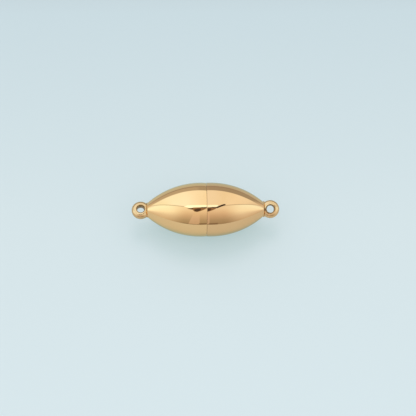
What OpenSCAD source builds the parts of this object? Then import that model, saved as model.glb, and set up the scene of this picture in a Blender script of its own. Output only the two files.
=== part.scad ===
// Magnetic clasp in the shape of an olive, about 8 mm across and 22 mm over its rings.
// The clasp lies along X, with Z up and the middle of the closed clasp at the origin. The
// socket half is on the -X side and the plug half, which pulls out and turns, on the +X side.

/* [Body] */
// Greatest diameter of the olive, at the crest of each half
body_d = 8; // [7.6:0.1:10]
// Length of the olive from nose to nose, without the rings
body_l = 17.2; // [15:0.1:22]
// Distance of each crest from the middle, between which the outline dips to the seam
crest_x = 0.74; // [0.3:0.02:1.2]
// Distance of the seam from the middle, towards the plug half
seam_x = 0.12; // [0:0.02:0.2]
// Diameter of each nose at its flat end
nose_d = 2.1; // [1.9:0.05:2.4]
// Width of the hairline between the two halves
seam_gap = 0.04; // [0.02:0.01:0.1]
// Chamfer on each side of the seam
edge_break = 0.05; // [0.02:0.01:0.1]
// Turn of the plug half about the long axis, in degrees
plug_turn = 20; // [0:5:90]

/* [Shells] */
// Wall of each shell behind its insert
shell_wall = 0.5; // [0.4:0.05:0.6]
// Wall of each shell round its insert
mouth_wall = 0.75; // [0.65:0.05:0.9]
// Solid metal behind the flat end of each nose
nose_wall = 1; // [0.6:0.1:1.4]
// Length of the solder cone between each nose and its ring
solder_l = 0.12; // [0.05:0.01:0.15]

/* [Rings] */
// Outside diameter of each ring
ring_d = 2.66; // [2.5:0.02:2.9]
// Diameter of the hole through each ring
bore_d = 1.1; // [1:0.05:1.3]
// Thickness of each ring along its hole
ring_t = 1.06; // [0.9:0.02:1.2]
// Round on the edges of the hole
ring_lip = 0.2; // [0.1:0.01:0.25]
// Round on the outer edges of the ring
ring_round = 0.3; // [0.2:0.01:0.4]
// Depth that each ring is let into its nose
ring_sink = 0.33; // [0.2:0.01:0.4]

/* [Magnets and inserts] */
// Diameter of each magnet
magnet_d = 4; // [3:0.1:4.4]
// Thickness of each magnet
magnet_t = 2; // [1.6:0.1:2.5]
// Wall of the spigot round its magnet
spigot_wall = 0.5; // [0.4:0.05:0.6]
// Length of the spigot beyond the seam
spigot_l = 1.4; // [1:0.1:1.6]
// Length of the collar that seats each insert in its shell
collar_l = 2; // [1.6:0.1:2.4]
// Metal behind each magnet
seat_wall = 0.4; // [0.3:0.05:0.6]
// Chamfer on the end of the spigot and the mouth of the well
lead_in = 0.12; // [0.05:0.01:0.2]

/* [Clearances] */
// Radial and end gap of each magnet in its pocket, filled with glue
magnet_fit = 0.03; // [0.02:0.01:0.06]
// Radial gap of each insert in its shell, filled with glue
insert_fit = 0.02; // [0.01:0.01:0.05]
// Radial running gap of the spigot in the well
spigot_fit = 0.08; // [0.04:0.01:0.1]
// Gap between the end of the spigot and the bottom of the well
end_gap = 0.06; // [0.02:0.01:0.1]

/* [Hidden] */
$fn = 96;

GILT = "#e3b27a";
BRASS = "#c9a868";
NICKEL = "#c4c6c8";

body_r = body_d / 2;
nose_r = nose_d / 2;
nose_x = body_l / 2;
half_gap = seam_gap / 2;

// The outline of each half is one arc, with its crest near the seam and its end on the rim
// of the nose.
flank_run = nose_x - crest_x;
flank_drop = body_r - nose_r;
flank_r = (flank_run ^ 2 + flank_drop ^ 2) / (2 * flank_drop);

ring_x = nose_x + ring_d / 2 - ring_sink;

mouth_r = body_r - mouth_wall;
collar_r = mouth_r - insert_fit;

magnet_r = magnet_d / 2;
pocket_r = magnet_r + magnet_fit;
pocket_t = magnet_t + magnet_fit;
spigot_r = pocket_r + spigot_wall;
well_r = spigot_r + spigot_fit;
well_end = spigot_l + end_gap;
cup_end = well_end + pocket_t + seat_wall;
spigot_seat = pocket_t - spigot_l;

// Radius of the outline where it meets the seam.
function seam_r(mid) = body_r - flank_r + sqrt(flank_r ^ 2 - (mid + crest_x) ^ 2);

// Turns an outline, with its radius along x and its length along y, about the X axis.
module turned() {
    rotate([90, 0, 90])
        rotate_extrude()
            children();
}

// Disc of the arc that the flank follows, made smaller by a wall. Here and below, lengths
// run from the seam towards the nose, and mid is where the middle of the olive comes.
module flank_disc(mid, wall) {
    translate([body_r - flank_r, mid + crest_x])
        circle(flank_r - wall, $fn = 360);
}

// Outline of half an olive: the flank, chamfered at the seam, then the solder cone.
module olive_outline(mid) {
    intersection() {
        flank_disc(mid, 0);
        polygon([
            [0, half_gap],
            [seam_r(mid) - edge_break, half_gap],
            [seam_r(mid) + body_r, half_gap + edge_break + body_r],
            [seam_r(mid) + body_r, mid + nose_x],
            [0, mid + nose_x]
        ]);
    }
    translate([0, mid + nose_x])
        polygon([
            [0, 0],
            [nose_r, 0],
            [nose_r - solder_l, solder_l],
            [0, solder_l]
        ]);
}

// Outline of the hollow: a straight mouth for the insert, then the flank less its wall.
module cavity_outline(mid) {
    intersection() {
        flank_disc(mid, shell_wall);
        translate([0, -crest_x])
            square([mouth_r, crest_x + mid + nose_x - nose_wall]);
    }
}

// Section of a ring, flat on its faces, with a small round at the hole and a larger one
// outside.
module ring_section() {
    lip_x = bore_d / 2 + ring_lip;
    lip_y = ring_t / 2 - ring_lip;
    round_x = ring_d / 2 - ring_round;
    round_y = ring_t / 2 - ring_round;
    for (s = [-1, 1]) {
        translate([lip_x, s * lip_y])
            circle(ring_lip);
        translate([round_x, s * round_y])
            circle(ring_round);
    }
    translate([bore_d / 2, -lip_y])
        square([ring_lip, 2 * lip_y]);
    translate([lip_x, -ring_t / 2])
        square([round_x - lip_x, ring_t]);
    translate([round_x, -round_y])
        square([ring_round, 2 * round_y]);
}

// One hollow half with its ring soldered on, seam at x = 0 and nose towards +X.
module half_shell(mid) {
    difference() {
        union() {
            turned()
                olive_outline(mid);
            translate([mid + ring_x, 0, 0])
                rotate_extrude()
                    ring_section();
        }
        turned()
            cavity_outline(mid);
        translate([mid + ring_x, 0, 0])
            cylinder(h = 2 * ring_t, d = bore_d, center = true);
    }
}

// Puts a piece of the socket half, made from its seam towards +X, in its place.
module on_socket_side() {
    translate([seam_x, 0, 0])
        mirror([1, 0, 0])
            children();
}

// Puts a piece of the plug half, made from its seam towards +X, in its place.
module on_plug_side() {
    translate([seam_x, 0, 0])
        rotate([plug_turn, 0, 0])
            children();
}

// Turned cup, with the well at its mouth and the magnet's pocket below it.
module half_cup() {
    back_r = pocket_r + spigot_wall;
    turned()
        polygon([
            [well_r + lead_in, half_gap],
            [collar_r, half_gap],
            [collar_r, collar_l],
            [back_r, collar_l],
            [back_r, cup_end],
            [0, cup_end],
            [0, cup_end - seat_wall],
            [pocket_r, cup_end - seat_wall],
            [pocket_r, well_end],
            [well_r, well_end],
            [well_r, half_gap + lead_in]
        ]);
}

// Turned insert of the plug half: a collar, and a spigot that reaches back past the seam.
module half_spigot() {
    turned()
        polygon([
            [pocket_r, -spigot_l],
            [spigot_r - lead_in, -spigot_l],
            [spigot_r, lead_in - spigot_l],
            [spigot_r, half_gap],
            [collar_r, half_gap],
            [collar_r, collar_l],
            [0, collar_l],
            [0, spigot_seat],
            [pocket_r, spigot_seat]
        ]);
}

// Plain round magnet, from one face at x = start.
module magnet(start) {
    translate([start, 0, 0])
        rotate([0, 90, 0])
            cylinder(h = magnet_t, r = magnet_r);
}

module socket_shell() {
    color(GILT)
        on_socket_side()
            half_shell(seam_x);
}

module socket_cup() {
    color(BRASS)
        on_socket_side()
            half_cup();
}

module socket_magnet() {
    color(NICKEL)
        on_socket_side()
            magnet(well_end);
}

module plug_shell() {
    color(GILT)
        on_plug_side()
            half_shell(-seam_x);
}

module plug_spigot() {
    color(BRASS)
        on_plug_side()
            half_spigot();
}

module plug_magnet() {
    color(NICKEL)
        on_plug_side()
            magnet(-spigot_l);
}

socket_shell();
socket_cup();
socket_magnet();
plug_shell();
plug_spigot();
plug_magnet();
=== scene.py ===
# Looks of a magnetic clasp in the shape of an olive, mirror-polished and gilt, made around
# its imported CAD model. The clasp lies along X on a pale floor, with the camera high in front.

import math

import bmesh
import bpy
from mathutils import Matrix, Vector


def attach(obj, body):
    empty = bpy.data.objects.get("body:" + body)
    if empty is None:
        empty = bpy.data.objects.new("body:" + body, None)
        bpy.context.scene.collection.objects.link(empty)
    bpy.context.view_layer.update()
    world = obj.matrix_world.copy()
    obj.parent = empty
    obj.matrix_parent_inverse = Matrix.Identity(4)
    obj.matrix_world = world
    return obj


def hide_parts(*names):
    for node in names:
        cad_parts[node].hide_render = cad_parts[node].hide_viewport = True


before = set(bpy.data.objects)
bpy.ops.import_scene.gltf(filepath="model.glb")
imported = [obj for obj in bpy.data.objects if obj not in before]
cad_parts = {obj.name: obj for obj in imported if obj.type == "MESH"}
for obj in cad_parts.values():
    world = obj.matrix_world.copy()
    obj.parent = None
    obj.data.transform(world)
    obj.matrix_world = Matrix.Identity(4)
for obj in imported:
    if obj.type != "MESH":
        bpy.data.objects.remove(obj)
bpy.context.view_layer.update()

MM = 0.001
ORIGIN = (0, 0, 0)
ABOUT_X = (1, 0, 0)
ABOUT_Y = (0, 1, 0)
ABOUT_Z = (0, 0, 1)

# Sizes in millimetres. Lengths along a half run from its seam towards its nose, and middle
# is where the middle of the olive comes. The guard keeps the outline's other points clear
# of the round at the seam.
BODY_R = 4.0
NOSE_R = 1.05
NOSE_X = 8.6
CREST_X = 0.74
SEAM_X = 0.12
HALF_GAP = 0.012
SEAM_ROUND = 0.03
SEAM_GUARD = 1.6 * SEAM_ROUND
PLUG_TURN = math.radians(20)
SHELL_WALL = 0.5
MOUTH_R = 3.25
NOSE_WALL = 1.0
SOLDER_L = 0.12

RING_X = 9.6
RING_R = 1.33
RING_HALF_T = 0.53
RING_LIP = 0.13
RING_ROUND = 0.366
RING_BACK_ROUND = 0.3
RING_FACE_LEAN = math.radians(60)
BORE_R = 0.55
SOLDER_X = -0.97
SOLDER_HALF_SIZE = (0.34, 1.2, 0.5)

MAGNET_R = 2.0
MAGNET_T = 2.0
MAGNET_EDGE = 0.1
POCKET_R = 2.03
POCKET_T = 2.03
INSERT_WALL_R = 2.53
COLLAR_R = 3.23
COLLAR_L = 2.0
WELL_R = 2.61
WELL_END = 1.46
SPIGOT_L = 1.4
SEAT_WALL = 0.4
LEAD_IN = 0.12
EDGE = 0.04

FLANK_RUN = NOSE_X - CREST_X
FLANK_DROP = BODY_R - NOSE_R
FLANK_R = (FLANK_RUN ** 2 + FLANK_DROP ** 2) / (2 * FLANK_DROP)
FLANK_CENTRE = BODY_R - FLANK_R

MERGE_WITHIN = 0.0005
ON_CIRCLE = 0.001
ROUND_PROFILE = 0.5

# Steps of the round forms, and squares along the floor
TURN_STEPS = 192
FLANK_STEPS = 110
INSIDE_STEPS = 24
SEAM_STEPS = 6
EDGE_STEPS = 4
RING_TURN_STEPS = 160
RING_LIP_STEPS = 10
RING_RIM_STEPS = 14
RING_FACE_STEPS = 12
SOLDER_STEPS = (48, 24)
DOME_STEPS = (64, 32)
FLOOR_SQUARES = 8

# Places of the ring's two materials in its shell
RING_SLOT = 1
HOLE_SLOT = 2


# Outlines, drawn in the half-plane y = 0 with x along the clasp and z outwards

def move_on(bm, vert, along, radius):
    """Goes on from a point of an outline to the next one in a straight line."""
    made = bmesh.ops.extrude_vert_indiv(bm, verts=[vert])
    end = made["verts"][0]
    bmesh.ops.translate(bm, verts=[end], vec=Vector((along, 0, radius)) - end.co)
    return end


def swing_on(bm, vert, centre, degrees, steps):
    """Goes on from a point of an outline along a round, turned about its centre."""
    made = bmesh.ops.spin(bm, geom=[vert], cent=(centre[0], 0, centre[1]), axis=ABOUT_Y,
                          angle=math.radians(degrees), steps=steps)
    return [item for item in made["geom_last"] if isinstance(item, bmesh.types.BMVert)][0]


def follow(bm, points):
    """Draws an outline through a few points in straight lines."""
    vert = bm.verts.new((points[0][0], 0, points[0][1]))
    for along, radius in points[1:]:
        vert = move_on(bm, vert, along, radius)
    return vert


def turn_outline(bm, about, steps):
    """Turns the outline once round an axis and closes the seam and the poles."""
    bmesh.ops.spin(bm, geom=bm.verts[:] + bm.edges[:], cent=ORIGIN, axis=about,
                   angle=math.tau, steps=steps, use_merge=True)
    bmesh.ops.remove_doubles(bm, verts=bm.verts[:], dist=MERGE_WITHIN)


def round_edge(bm, along, radius, width, steps):
    """Rounds the circular edge that runs through one point of the outline."""
    def on_circle(vert):
        spot = math.hypot(vert.co.y, vert.co.z)
        return abs(vert.co.x - along) < ON_CIRCLE and abs(spot - radius) < ON_CIRCLE
    circle = [edge for edge in bm.edges if all(on_circle(vert) for vert in edge.verts)]
    bmesh.ops.bevel(bm, geom=circle, offset=width, offset_type="OFFSET", segments=steps,
                    profile=ROUND_PROFILE, affect="EDGES", material=-1)


def to_socket_side(bm):
    """Puts a piece of the socket half, made from its seam towards +X, in its place."""
    bmesh.ops.scale(bm, verts=bm.verts[:], vec=(-1, 1, 1))
    bmesh.ops.translate(bm, verts=bm.verts[:], vec=(SEAM_X, 0, 0))


def to_plug_side(bm):
    """Puts a piece of the plug half, made from its seam towards +X, in its place."""
    bmesh.ops.rotate(bm, verts=bm.verts[:], cent=ORIGIN,
                     matrix=Matrix.Rotation(PLUG_TURN, 3, "X"))
    bmesh.ops.translate(bm, verts=bm.verts[:], vec=(SEAM_X, 0, 0))


def make_piece(bm, name, material):
    """Makes an object in metres, at the origin, from a finished mesh in millimetres."""
    bmesh.ops.recalc_face_normals(bm, faces=bm.faces[:])
    bmesh.ops.scale(bm, verts=bm.verts[:], vec=(MM, MM, MM))
    for face in bm.faces:
        face.smooth = True
    mesh = bpy.data.meshes.new(name)
    bm.to_mesh(mesh)
    bm.free()
    mesh.materials.append(material)
    piece = bpy.data.objects.new(name, mesh)
    bpy.context.scene.collection.objects.link(piece)
    return piece


# Colours and nodes

def colour(code):
    """Linear colour of an sRGB hex value."""
    parts = [int(code[i:i + 2], 16) / 255 for i in (1, 3, 5)]
    line = [c / 12.92 if c <= 0.04045 else ((c + 0.055) / 1.055) ** 2.4 for c in parts]
    return (*line, 1)


def set_inputs(tree, node, inputs):
    """Gives inputs of a node their values or links."""
    for key, value in dict(inputs).items():
        if isinstance(value, bpy.types.NodeSocket):
            tree.links.new(value, node.inputs[key])
        else:
            node.inputs[key].default_value = value


def add_node(tree, kind, settings=(), inputs=()):
    """Adds a node, with its settings and with values or links for its inputs."""
    node = tree.nodes.new(kind)
    for name, value in dict(settings).items():
        setattr(node, name, value)
    set_inputs(tree, node, inputs)
    return node


def calculate(tree, operation, *values):
    """Works out a value from one or two others."""
    node = add_node(tree, "ShaderNodeMath", {"operation": operation}, enumerate(values))
    return node.outputs["Value"]


def stretch(tree, value, span, ends=(0.0, 1.0), way="LINEAR"):
    """Brings the span of a value to new ends, and holds it there."""
    node = add_node(tree, "ShaderNodeMapRange", {"interpolation_type": way}, {
        "Value": value, "From Min": span[0], "From Max": span[1],
        "To Min": ends[0], "To Max": ends[1]})
    return node.outputs["Result"]


def ramp(tree, value, stops):
    """Colour that follows a value through a few stops, each a place and a hex colour."""
    node = add_node(tree, "ShaderNodeValToRGB", inputs={"Fac": value})
    stops = list(stops)
    row = node.color_ramp.elements
    while len(row) < len(stops):
        row.new(0.5)
    for element, (spot, code) in zip(row, stops):
        element.position = spot
        element.color = colour(code)
    return node.outputs["Color"]


def place_on_piece(tree):
    """Where a point lies on its piece, in metres."""
    return add_node(tree, "ShaderNodeTexCoord").outputs["Object"]


def noise(tree, place, size, detail):
    """Noise with patches of about this size in millimetres."""
    node = add_node(tree, "ShaderNodeTexNoise", inputs={
        "Vector": place, "Scale": 1 / (size * MM), "Detail": detail})
    return node.outputs["Fac"]


def relief(tree, height, depth, under=None):
    """Bump with a depth in millimetres, over another one if there is one."""
    inputs = {"Height": height, "Strength": 1.0, "Distance": depth * MM}
    if under is not None:
        inputs["Normal"] = under
    return add_node(tree, "ShaderNodeBump", inputs=inputs).outputs["Normal"]


def new_material(name):
    """Empty node material with its shader and output."""
    material = bpy.data.materials.new(name)
    material.use_nodes = True
    tree = material.node_tree
    tree.nodes.clear()
    shader = add_node(tree, "ShaderNodeBsdfPrincipled")
    add_node(tree, "ShaderNodeOutputMaterial", inputs={"Surface": shader.outputs["BSDF"]})
    return material, tree, shader


# Materials, with the sizes and depths of their patterns in millimetres. Most of a noise's
# values lie within its span.

NOISE_SPAN = (0.3, 0.7)
PATCH_SPAN = (0.35, 0.65)

OLIVE_ROUGH = (0.025, 0.05)
RING_ROUGH = (0.1, 0.16)
GILT_EDGE_TINT = "#DDECE7"
PLATE_SIZE = 3.0
HAZE_SIZE = 1.2
RUB_WIDTH = 0.06
RUB_LENGTH = 2.5
RUB_DEPTH = 0.00002
WAVE_SIZE = 1.6
WAVE_DEPTH = 0.002

TURNED_CODES = ("#DDB478", "#EBC88E")
TURNED_ROUGH = 0.2
TOOL_FEED = 0.1
TOOL_DEPTH = 0.0012
CHATTER_SIZE = 0.17

# Inside the ring holes the colour is a patchy dark brown: painted shade of the holes.
HOLE_SHADE_CODES = ("#7E5D3B", "#B58B55")
HOLE_ROUGH = (0.5, 0.3)
HOLE_PATCH_SIZE = 0.25

NICKEL_CODES = ("#C8C9C7", "#DEDEDB")
NICKEL_ROUGH = (0.18, 0.3)
GRAIN_SIZE = 0.12
GRAIN_DEPTH = 0.0015


def gilt_polished(name, codes, roughness):
    """Gold plate on polished brass. Buffing leaves the olive a mirror with the faintest haze
    and the small rings a softer shine, with a slow waviness that bends reflections, fine
    rubbing lines and a plating a shade uneven. Seen edge-on, its thin lacquer turns it a
    little grey-green."""
    material, tree, shader = new_material(name)
    place = place_on_piece(tree)
    plate = noise(tree, place, PLATE_SIZE, detail=2.0)
    haze = noise(tree, place, HAZE_SIZE, detail=3.0)
    wave = noise(tree, place, WAVE_SIZE, detail=0.0)
    rubbed = add_node(tree, "ShaderNodeMapping", inputs={
        "Vector": place,
        "Scale": (1 / (RUB_WIDTH * MM), 1 / (RUB_LENGTH * MM), 1 / (RUB_LENGTH * MM))})
    lines = add_node(tree, "ShaderNodeTexNoise", inputs={
        "Vector": rubbed.outputs["Vector"], "Scale": 1.0, "Detail": 2.0})
    rub = relief(tree, lines.outputs["Fac"], RUB_DEPTH)
    set_inputs(tree, shader, {
        "Base Color": ramp(tree, plate, zip(NOISE_SPAN, codes)),
        "Roughness": stretch(tree, haze, NOISE_SPAN, roughness),
        "Normal": relief(tree, wave, WAVE_DEPTH, under=rub),
        "Metallic": 1.0,
        "Specular Tint": colour(GILT_EDGE_TINT)})
    return material


def gilt_turned():
    """Gold plate on brass as it comes off the lathe. The tool leaves fine rings on the faces
    and fine hoops on the walls, which draw the highlights out into fans. The real feed of
    0.03 mm is drawn as 0.1 mm, so that it shows."""
    material, tree, shader = new_material("gilt_turned_brass")
    split = add_node(tree, "ShaderNodeSeparateXYZ", inputs={"Vector": place_on_piece(tree)})
    flat = add_node(tree, "ShaderNodeCombineXYZ", inputs={
        "Y": split.outputs["Y"], "Z": split.outputs["Z"]})
    radius = add_node(tree, "ShaderNodeVectorMath", {"operation": "LENGTH"}, {
        0: flat.outputs["Vector"]})
    feed = calculate(tree, "ADD", radius.outputs["Value"], split.outputs["X"])
    turns = calculate(tree, "MULTIPLY", feed, math.tau / (TOOL_FEED * MM))
    groove = calculate(tree, "SINE", turns)
    chatter = add_node(tree, "ShaderNodeTexNoise", {"noise_dimensions": "1D"}, {
        "W": feed, "Scale": 1 / (CHATTER_SIZE * MM), "Detail": 2.0}).outputs["Fac"]
    height = calculate(tree, "ADD", groove, chatter)
    set_inputs(tree, shader, {
        "Base Color": ramp(tree, chatter, zip(NOISE_SPAN, TURNED_CODES)),
        "Roughness": TURNED_ROUGH,
        "Normal": relief(tree, height, TOOL_DEPTH),
        "Metallic": 1.0})
    return material


def gilt_dull():
    """Gold plate inside the ring holes, where the buff doesn't reach, so it is dull. The colour
    is darkened in patches to a brown as painted shade of the holes' hollow."""
    material, tree, shader = new_material("gilt_dull_painted_shade_in_ring_hole")
    shade_and_dullness = noise(tree, place_on_piece(tree), HOLE_PATCH_SIZE, detail=3.0)
    set_inputs(tree, shader, {
        "Base Color": ramp(tree, shade_and_dullness, zip(PATCH_SPAN, HOLE_SHADE_CODES)),
        "Roughness": stretch(tree, shade_and_dullness, NOISE_SPAN, HOLE_ROUGH),
        "Metallic": 1.0})
    return material


def nickel_plated():
    """Nickel on a sintered magnet. Barrel plating leaves a soft satin over a faint grain."""
    material, tree, shader = new_material("nickel_plated_magnet")
    grain = noise(tree, place_on_piece(tree), GRAIN_SIZE, detail=3.0)
    set_inputs(tree, shader, {
        "Base Color": ramp(tree, grain, zip(NOISE_SPAN, NICKEL_CODES)),
        "Roughness": stretch(tree, grain, NOISE_SPAN, NICKEL_ROUGH),
        "Normal": relief(tree, grain, GRAIN_DEPTH),
        "Metallic": 1.0})
    return material


# Pieces of the clasp

def ring_mesh():
    """Ring with a domed front and a flatter back, and the solder that has run up between it
    and the nose. The ring, and its hole with a small round, each take a material of their
    own in the shell."""
    crest_r = BORE_R + RING_LIP
    back_r = RING_R - RING_BACK_ROUND
    rim_r = RING_R - RING_ROUND
    face_round = RING_ROUND + (rim_r - crest_r) / math.sin(RING_FACE_LEAN)
    lip_z = RING_HALF_T - RING_LIP
    back_z = RING_HALF_T - RING_BACK_ROUND
    face_z = RING_HALF_T - face_round
    rim_z = face_z + (face_round - RING_ROUND) * math.cos(RING_FACE_LEAN)
    lean = math.degrees(RING_FACE_LEAN)
    bm = bmesh.new()
    start = bm.verts.new((BORE_R, 0, -lip_z))
    vert = swing_on(bm, start, (crest_r, -lip_z), -90, RING_LIP_STEPS)
    vert = move_on(bm, vert, back_r, -RING_HALF_T)
    vert = swing_on(bm, vert, (back_r, -back_z), -90, RING_RIM_STEPS)
    vert = move_on(bm, vert, RING_R, rim_z)
    vert = swing_on(bm, vert, (rim_r, rim_z), lean - 90, RING_RIM_STEPS)
    vert = swing_on(bm, vert, (crest_r, face_z), -lean, RING_FACE_STEPS)
    vert = swing_on(bm, vert, (crest_r, lip_z), -90, RING_LIP_STEPS)
    bm.edges.new((vert, start))
    turn_outline(bm, ABOUT_Z, RING_TURN_STEPS)
    for face in bm.faces:
        middle = face.calc_center_median()
        in_hole = math.hypot(middle.x, middle.y) < crest_r
        face.material_index = HOLE_SLOT if in_hole else RING_SLOT
    at_nose = Matrix.Translation((SOLDER_X, 0, 0)) @ Matrix.Diagonal((*SOLDER_HALF_SIZE, 1))
    solder = bmesh.ops.create_uvsphere(bm, u_segments=SOLDER_STEPS[0],
                                       v_segments=SOLDER_STEPS[1], radius=1, matrix=at_nose)
    for face in {face for vert in solder["verts"] for face in vert.link_faces}:
        face.material_index = RING_SLOT
    bmesh.ops.recalc_face_normals(bm, faces=bm.faces[:])
    mesh = bpy.data.meshes.new("ring")
    bm.to_mesh(mesh)
    bm.free()
    return mesh


def shell_body(middle):
    """Hollow half of the olive, with a rounded edge at the seam and a solder cone."""
    bm = bmesh.new()
    wall_x = middle + NOSE_X - NOSE_WALL
    tip_x = middle + NOSE_X + SOLDER_L
    centre = (middle + CREST_X, FLANK_CENTRE)
    seam_run = HALF_GAP - middle - CREST_X
    seam_r = FLANK_CENTRE + math.sqrt(FLANK_R ** 2 - seam_run ** 2)
    first = math.degrees(math.asin(seam_run / FLANK_R))
    last = math.degrees(math.asin(FLANK_RUN / FLANK_R))
    guard = math.degrees(SEAM_GUARD / FLANK_R)
    inner_r = FLANK_R - SHELL_WALL
    mouth_run = math.sqrt(inner_r ** 2 - (MOUTH_R - FLANK_CENTRE) ** 2)
    end_run = FLANK_RUN - NOSE_WALL
    inner_first = math.degrees(math.asin(mouth_run / inner_r))
    inner_last = math.degrees(math.asin(end_run / inner_r))

    vert = follow(bm, [
        (wall_x, 0),
        (wall_x, FLANK_CENTRE + math.sqrt(inner_r ** 2 - end_run ** 2)),
    ])
    vert = swing_on(bm, vert, centre, inner_first - inner_last, INSIDE_STEPS)
    vert = move_on(bm, vert, HALF_GAP, MOUTH_R)
    vert = move_on(bm, vert, HALF_GAP, seam_r - SEAM_GUARD)
    vert = move_on(bm, vert, HALF_GAP, seam_r)
    vert = swing_on(bm, vert, centre, guard, 1)
    vert = swing_on(bm, vert, centre, last - first - guard, FLANK_STEPS)
    vert = move_on(bm, vert, tip_x, NOSE_R - SOLDER_L)
    move_on(bm, vert, tip_x, 0)
    turn_outline(bm, ABOUT_X, TURN_STEPS)
    round_edge(bm, HALF_GAP, seam_r, SEAM_ROUND, SEAM_STEPS)
    return bm


def make_shell(name, middle, place, materials):
    """Shell of one half with its ring, in its place."""
    bm = shell_body(middle)
    ring = ring_mesh()
    ring.transform(Matrix.Translation((middle + RING_X, 0, 0)))
    bm.from_mesh(ring)
    bpy.data.meshes.remove(ring)
    place(bm)
    shell = make_piece(bm, name, materials[0])
    for material in materials[1:]:
        shell.data.materials.append(material)
    return shell


def make_turned(name, outline, edges, width, place, material):
    """Piece turned from an outline of straight lines, with some of its edges rounded."""
    bm = bmesh.new()
    follow(bm, outline)
    turn_outline(bm, ABOUT_X, TURN_STEPS)
    for along, radius in edges:
        round_edge(bm, along, radius, width, EDGE_STEPS)
    place(bm)
    return make_piece(bm, name, material)


def make_cup(material):
    """Turned cup, with the well at its mouth and the magnet's pocket below it."""
    cup_end = WELL_END + POCKET_T + SEAT_WALL
    outline = [
        (cup_end, 0),
        (cup_end, INSERT_WALL_R),
        (COLLAR_L, INSERT_WALL_R),
        (COLLAR_L, COLLAR_R),
        (HALF_GAP, COLLAR_R),
        (HALF_GAP, WELL_R + LEAD_IN),
        (HALF_GAP + LEAD_IN, WELL_R),
        (WELL_END, WELL_R),
        (WELL_END, POCKET_R),
        (cup_end - SEAT_WALL, POCKET_R),
        (cup_end - SEAT_WALL, 0),
    ]
    edges = [
        (HALF_GAP, COLLAR_R),
        (HALF_GAP, WELL_R + LEAD_IN),
        (HALF_GAP + LEAD_IN, WELL_R),
        (WELL_END, POCKET_R),
        (COLLAR_L, COLLAR_R),
        (cup_end, INSERT_WALL_R),
    ]
    return make_turned("turned_cup", outline, edges, EDGE, to_socket_side, material)


def make_spigot(material):
    """Turned insert of the plug half: a collar, and a spigot that reaches past the seam."""
    outline = [
        (POCKET_T - SPIGOT_L, 0),
        (POCKET_T - SPIGOT_L, POCKET_R),
        (-SPIGOT_L, POCKET_R),
        (-SPIGOT_L, INSERT_WALL_R - LEAD_IN),
        (LEAD_IN - SPIGOT_L, INSERT_WALL_R),
        (HALF_GAP, INSERT_WALL_R),
        (HALF_GAP, COLLAR_R),
        (COLLAR_L, COLLAR_R),
        (COLLAR_L, 0),
    ]
    edges = [
        (-SPIGOT_L, POCKET_R),
        (-SPIGOT_L, INSERT_WALL_R - LEAD_IN),
        (LEAD_IN - SPIGOT_L, INSERT_WALL_R),
        (HALF_GAP, COLLAR_R),
        (COLLAR_L, COLLAR_R),
    ]
    return make_turned("turned_spigot", outline, edges, EDGE, to_plug_side, material)


def make_magnet(name, start, place, material):
    """Plain round magnet with tumbled edges."""
    end = start + MAGNET_T
    outline = [(start, 0), (start, MAGNET_R), (end, MAGNET_R), (end, 0)]
    edges = [(start, MAGNET_R), (end, MAGNET_R)]
    return make_turned(name, outline, edges, MAGNET_EDGE, place, material)


# Floor and backdrop, in metres

FLOOR_Z = -BODY_R * MM
FLOOR_HALF = 0.45
# Tint and glow of the floor darken towards the far side: painted shade. The glow is painted
# light, for the sheet is no lamp; it lifts the floor and keeps the shadow pale.
FLOOR_PAINTED_SHADE_SPAN = (-0.035, 0.065)
FLOOR_TINT = [(0.0, "#A88E8A"), (0.35, "#A78D89"), (0.7, "#A18883"), (1.0, "#8D7773")]
FLOOR_PAINTED_GLOW = [(0.0, "#8EB5BA"), (0.35, "#8BB2B6"), (0.7, "#7FAAB2"), (1.0, "#5D7076")]
FLOOR_ROUGH = 0.9
BACKDROP_R = 0.5
BACKDROP_CODE = "#CBDDE3"


def make_floor():
    """White acrylic sheet with a painted glow: it is no lamp, yet its glow lifts the floor and
    keeps the shadow soft and pale. Its tint and glow darken towards the far side as painted
    shade."""
    material, tree, shader = new_material("white_acrylic_sheet_painted_glow")
    split = add_node(tree, "ShaderNodeSeparateXYZ", inputs={"Vector": place_on_piece(tree)})
    painted_shade = stretch(tree, split.outputs["Y"], FLOOR_PAINTED_SHADE_SPAN)
    set_inputs(tree, shader, {
        "Base Color": ramp(tree, painted_shade, FLOOR_TINT),
        "Emission Color": ramp(tree, painted_shade, FLOOR_PAINTED_GLOW),
        "Emission Strength": 1.0,
        "Roughness": FLOOR_ROUGH,
        "Specular IOR Level": 0.0})
    bm = bmesh.new()
    bmesh.ops.create_grid(bm, x_segments=FLOOR_SQUARES, y_segments=FLOOR_SQUARES,
                          size=FLOOR_HALF / MM)
    bmesh.ops.translate(bm, verts=bm.verts[:], vec=(0, 0, FLOOR_Z / MM))
    floor = make_piece(bm, "floor_sheet", material)


def make_backdrop():
    """Plain pale dome behind the floor's edge, which only the camera sees."""
    material = bpy.data.materials.new("pale_backdrop")
    material.use_nodes = True
    tree = material.node_tree
    tree.nodes.clear()
    glow = add_node(tree, "ShaderNodeEmission", inputs={"Color": colour(BACKDROP_CODE)})
    add_node(tree, "ShaderNodeOutputMaterial", inputs={"Surface": glow.outputs["Emission"]})
    bm = bmesh.new()
    bmesh.ops.create_uvsphere(bm, u_segments=DOME_STEPS[0], v_segments=DOME_STEPS[1],
                              radius=BACKDROP_R / MM)
    dome = make_piece(bm, "backdrop_dome", material)
    dome.visible_diffuse = False
    dome.visible_glossy = False
    dome.visible_transmission = False
    dome.visible_shadow = False


# Studio light, by direction from the clasp

LIGHT_STRENGTH = 2.5
EDGE_SOFT = 0.012

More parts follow.
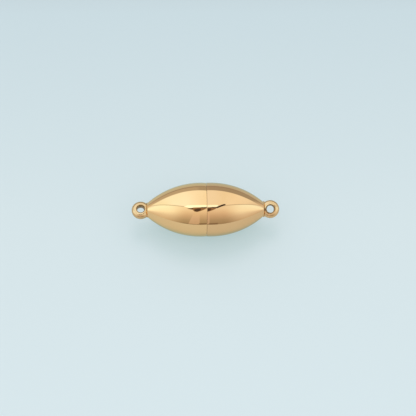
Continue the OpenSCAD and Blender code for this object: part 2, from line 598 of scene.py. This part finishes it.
# Light of the large surfaces at a few places. The front light and the low card change along,
# in degrees from straight up, with minus towards the camera. The softbox and the far wall
# change across, from -1 on the left to 1 on the right.
MIDDLE_FRONT = [
    (-90, "#6E6E67"), (-70, "#7A7B75"), (-50, "#8F8E8B"), (-32, "#A0A3A2"), (-18, "#A8B1B3"),
    (20, "#ACB5B7")]
SIDE_FRONT = [
    (-90, "#8F9290"), (-60, "#9DA4A7"), (-32, "#B2C3C8"), (0, "#B3CBD5"), (20, "#B3CDD7"),
    (45, "#AABCC8"), (70, "#999E99")]
SIDE_FRONT_SPAN = (0.30, 0.78)
SOFTBOX = [
    (-0.77, "#ADC0C7"), (-0.60, "#B2C7D5"), (-0.30, "#B3C5D3"), (-0.05, "#AEBDC7"),
    (0.30, "#ABB6B7"), (0.55, "#AFBBBF"), (0.77, "#ACB8BC"), (0.87, "#A2ACB0")]
SOFTBOX_EDGES = [(0.565, 1.0, 0.352), (-0.423, 1.0, 0.230)]
SOFTBOX_FRAME_CODE = "#888E90"
SOFTBOX_FRAME_WIDTH = 0.05
FAR_WALL = [
    (-0.90, "#989992"), (-0.75, "#818587"), (-0.30, "#7F8486"), (-0.04, "#7D8284"),
    (0.02, "#74797B"), (0.55, "#727879"), (0.74, "#717777"), (0.92, "#999EA0")]
FAR_WALL_EDGES = [((-0.074, 0.338, -0.928), 0.05), ((0.074, 0.370, -0.917), 0.03)]
LOW_CARD_LIGHT = [(-88, "#868482"), (-60, "#918F90"), (-38, "#9E9D98")]

# Corners of the flat cards, in degrees across and along. Those of one colour follow in the
# order that they overlap.
LOW_CARD = [(-8.8, -38), (-0.4, -38), (-0.4, -89), (-13.7, -89)]
STRIP = [(-23, -8), (-18, -3.5), (11, -3.5), (12.5, -9.5), (9, -15), (-14, -16)]
CAMERA_STRAP = [(-19, -17.5), (-10, -14.5), (-9, -23), (-12, -22.5), (-16, -20)]
CAMERA_BACK = [
    (-10.5, -13.7), (9.5, -12.5), (10.5, -15.5), (7, -22), (0.5, -29), (-4.5, -33),
    (-8.5, -30.5), (-10.5, -24)]
CAMERA_LENS_FRONT = [
    (-8.5, -22), (-4, -18), (1, -17.5), (1.5, -25), (-2, -30), (-5, -31.5), (-8, -29.5)]
CAMERA_ARM_ROOT = [(1, -12.5), (10, -12), (13, -15), (2, -16)]
CAMERA_ARM = [(9, -12), (14.5, -4.5), (20, 2), (22.5, 1), (21.5, -4), (16, -11), (10, -18)]
TABLE_EDGE_RIGHT = [(-1, -83), (10, -83), (10, -91), (-1, -91)]
TABLE_EDGE_LEFT = [(-22, -88.5), (-0.5, -88.5), (-0.5, -91), (-22, -91)]
FLAT_CARDS = [
    (STRIP, "#BFDFEF"),
    (CAMERA_STRAP, "#453B32"),
    (CAMERA_BACK, "#645648"),
    (CAMERA_LENS_FRONT, "#38322F"),
    (CAMERA_ARM_ROOT, "#2B2722"),
    (CAMERA_ARM, "#221F1D"),
    (TABLE_EDGE_RIGHT, "#5C5952"),
    (TABLE_EDGE_LEFT, "#5C5952"),
]

# Sockets of a mix of two colours, by number, since several have one name
MIX_SHARE = 0
MIX_BELOW = 6
MIX_ABOVE = 7
MIX_RESULT = 2


def toward(across, along):
    """Direction from the clasp, in degrees: across from its middle to the right, and along
    from straight up to the far side."""
    a = math.radians(across)
    b = math.radians(along)
    return Vector((math.sin(a), math.cos(a) * math.sin(b), math.cos(a) * math.cos(b)))


def beyond(tree, direction, normal, soft, moved=0.0):
    """1 on one side of a straight edge and 0 on the other, with a soft change. The edge may
    be moved over a little."""
    dot = add_node(tree, "ShaderNodeVectorMath", {"operation": "DOT_PRODUCT"}, {
        0: direction, 1: normal})
    return stretch(tree, dot.outputs["Value"], (moved - soft, moved + soft), way="SMOOTHSTEP")


def flat_card(tree, direction, corners):
    """Where a flat card with straight edges is seen, from the directions of its corners."""
    rays = [toward(*corner) for corner in corners]
    middle = sum(rays, Vector(ORIGIN))
    mask = 1.0
    for first, second in zip(rays, rays[1:] + rays[:1]):
        normal = first.cross(second).normalized()
        if normal.dot(middle) < 0:
            normal.negate()
        inside = beyond(tree, direction, normal, EDGE_SOFT)
        mask = calculate(tree, "MULTIPLY", mask, inside)
    return mask


def spread(tree, value, stops):
    """Light that changes along a direction, from its colours at a few places."""
    low = stops[0][0]
    high = stops[-1][0]
    share = stretch(tree, value, (low, high))
    return ramp(tree, share, [((spot - low) / (high - low), code) for spot, code in stops])


def put_over(tree, below, above, mask):
    """One light in front of another."""
    node = add_node(tree, "ShaderNodeMix", {"data_type": "RGBA"}, {
        MIX_SHARE: mask, MIX_BELOW: below, MIX_ABOVE: above})
    return node.outputs[MIX_RESULT]


def studio_light():
    """Room light by direction: a soft front light that fades towards the floor and is
    brighter to the sides, a wide softbox beyond the clasp in a thin frame, the unlit far
    wall below it, a card low in front, a slim strip light, the dark camera on its arm, and
    the table's dark edge."""
    world = bpy.data.worlds.new("studio")
    world.use_nodes = True
    tree = world.node_tree
    tree.nodes.clear()
    direction = add_node(tree, "ShaderNodeTexCoord").outputs["Generated"]
    split = add_node(tree, "ShaderNodeSeparateXYZ", inputs={"Vector": direction})
    side = split.outputs["X"]
    turn = calculate(tree, "ARCTAN2", split.outputs["Y"], split.outputs["Z"])
    along = calculate(tree, "DEGREES", turn)

    aside = calculate(tree, "ABSOLUTE", side)
    share = stretch(tree, aside, SIDE_FRONT_SPAN, way="SMOOTHSTEP")
    light = put_over(tree, spread(tree, along, MIDDLE_FRONT), spread(tree, along, SIDE_FRONT),
                     share)

    softbox = spread(tree, side, SOFTBOX)
    for glow, moved in ((colour(SOFTBOX_FRAME_CODE), -SOFTBOX_FRAME_WIDTH), (softbox, 0.0)):
        left, right = [beyond(tree, direction, normal, EDGE_SOFT, moved)
                       for normal in SOFTBOX_EDGES]
        light = put_over(tree, light, glow, calculate(tree, "MULTIPLY", left, right))

    left, right = [beyond(tree, direction, normal, soft) for normal, soft in FAR_WALL_EDGES]
    light = put_over(tree, light, spread(tree, side, FAR_WALL),
                     calculate(tree, "MAXIMUM", left, right))

    light = put_over(tree, light, spread(tree, along, LOW_CARD_LIGHT),
                     flat_card(tree, direction, LOW_CARD))
    for corners, code in FLAT_CARDS:
        light = put_over(tree, light, colour(code), flat_card(tree, direction, corners))

    output = add_node(tree, "ShaderNodeBackground", inputs={
        "Color": light, "Strength": LIGHT_STRENGTH})
    add_node(tree, "ShaderNodeOutputWorld", inputs={"Surface": output.outputs["Background"]})
    bpy.context.scene.world = world


FAR_LAMP_HEIGHT_ANGLE = math.radians(60)
FAR_LAMP_SOFT = math.radians(26)
FAR_LAMP_STRENGTH = 0.74
FAR_LAMP_CODE = "#DAEBFF"


def make_far_lamp():
    """Wide, faint and bluish lamp high on the far side, which draws the shadow out towards
    the camera. The metal doesn't mirror it."""
    data = bpy.data.lights.new("far_lamp", "SUN")
    data.energy = FAR_LAMP_STRENGTH
    data.angle = FAR_LAMP_SOFT
    data.color = colour(FAR_LAMP_CODE)[:3]
    lamp = bpy.data.objects.new("far_lamp", data)
    lamp.rotation_euler.x = FAR_LAMP_HEIGHT_ANGLE - math.pi / 2
    lamp.visible_glossy = False
    bpy.context.scene.collection.objects.link(lamp)


# Camera. The clasp is 54 pixels high in the photo, and its middle lies at CLASP_PIXEL.

PICTURE = 416
BODY_PIXELS = 54
CLASP_PIXEL = (205.5, 209.6)
SCALE_MM_PER_PIXEL = 2 * BODY_R / BODY_PIXELS
CAMERA_LENS = 200.0
SENSOR = 36.0
CAMERA_HEIGHT_ANGLE = math.radians(67)
CAMERA_SIDE = -0.033
CAMERA_ROLL = math.radians(0.45)
CLIP_NEAR = 0.001
CLIP_FAR = 10.0


def make_camera():
    """Camera high in front, with a long lens and the clasp near the middle."""
    away = Vector((CAMERA_SIDE, -math.cos(CAMERA_HEIGHT_ANGLE), math.sin(CAMERA_HEIGHT_ANGLE)))
    away.normalize()
    level = Vector((1, 0, 0)) - away * away.x
    level.normalize()
    upright = away.cross(level)
    right = level * math.cos(CAMERA_ROLL) - upright * math.sin(CAMERA_ROLL)
    top = away.cross(right)
    view_width = PICTURE * SCALE_MM_PER_PIXEL * MM
    distance = view_width * CAMERA_LENS / SENSOR
    middle = PICTURE / 2
    step = SCALE_MM_PER_PIXEL * MM
    aim = right * (middle - CLASP_PIXEL[0]) * step - top * (middle - CLASP_PIXEL[1]) * step
    data = bpy.data.cameras.new("camera")
    data.lens = CAMERA_LENS
    data.sensor_width = SENSOR
    data.clip_start = CLIP_NEAR
    data.clip_end = CLIP_FAR
    camera = bpy.data.objects.new("camera", data)
    bpy.context.scene.collection.objects.link(camera)
    turn = Matrix((right, top, away)).transposed().to_4x4()
    camera.matrix_world = Matrix.Translation(aim + away * distance) @ turn
    bpy.context.scene.camera = camera


# The clasp, put together. Each polished finish has its deeper colour first.

# The socket half's gilt is a shade paler and brighter than the plug half's.
gilt_left = gilt_polished("gilt_mirror_polish_socket", ("#F7C48A", "#F9C88F"), OLIVE_ROUGH)
gilt_right = gilt_polished("gilt_mirror_polish_plug", ("#EFBB85", "#F1BF8A"), OLIVE_ROUGH)
gilt_ring = gilt_polished("gilt_soft_polish_rings", ("#DFB280", "#E7BA88"), RING_ROUGH)
gilt_hole = gilt_dull()
turned = gilt_turned()
nickel = nickel_plated()

socket_shell = make_shell("socket_half_olive", SEAM_X, to_socket_side,
                          (gilt_left, gilt_ring, gilt_hole))
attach(socket_shell, "socket_half")
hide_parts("socket_shell")

plug_shell = make_shell("plug_half_olive", -SEAM_X, to_plug_side,
                        (gilt_right, gilt_ring, gilt_hole))
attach(plug_shell, "plug_half")
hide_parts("plug_shell")

cup = make_cup(turned)
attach(cup, "socket_half")
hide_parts("socket_cup")

spigot = make_spigot(turned)
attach(spigot, "plug_half")
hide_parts("plug_spigot")

socket_magnet = make_magnet("socket_magnet_disc", WELL_END, to_socket_side, nickel)
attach(socket_magnet, "socket_half")
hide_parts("socket_magnet")

plug_magnet = make_magnet("plug_magnet_disc", -SPIGOT_L, to_plug_side, nickel)
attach(plug_magnet, "plug_core")
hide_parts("plug_magnet")

make_floor()
make_backdrop()
studio_light()
make_far_lamp()
make_camera()
bpy.context.scene.view_settings.view_transform = "Standard"
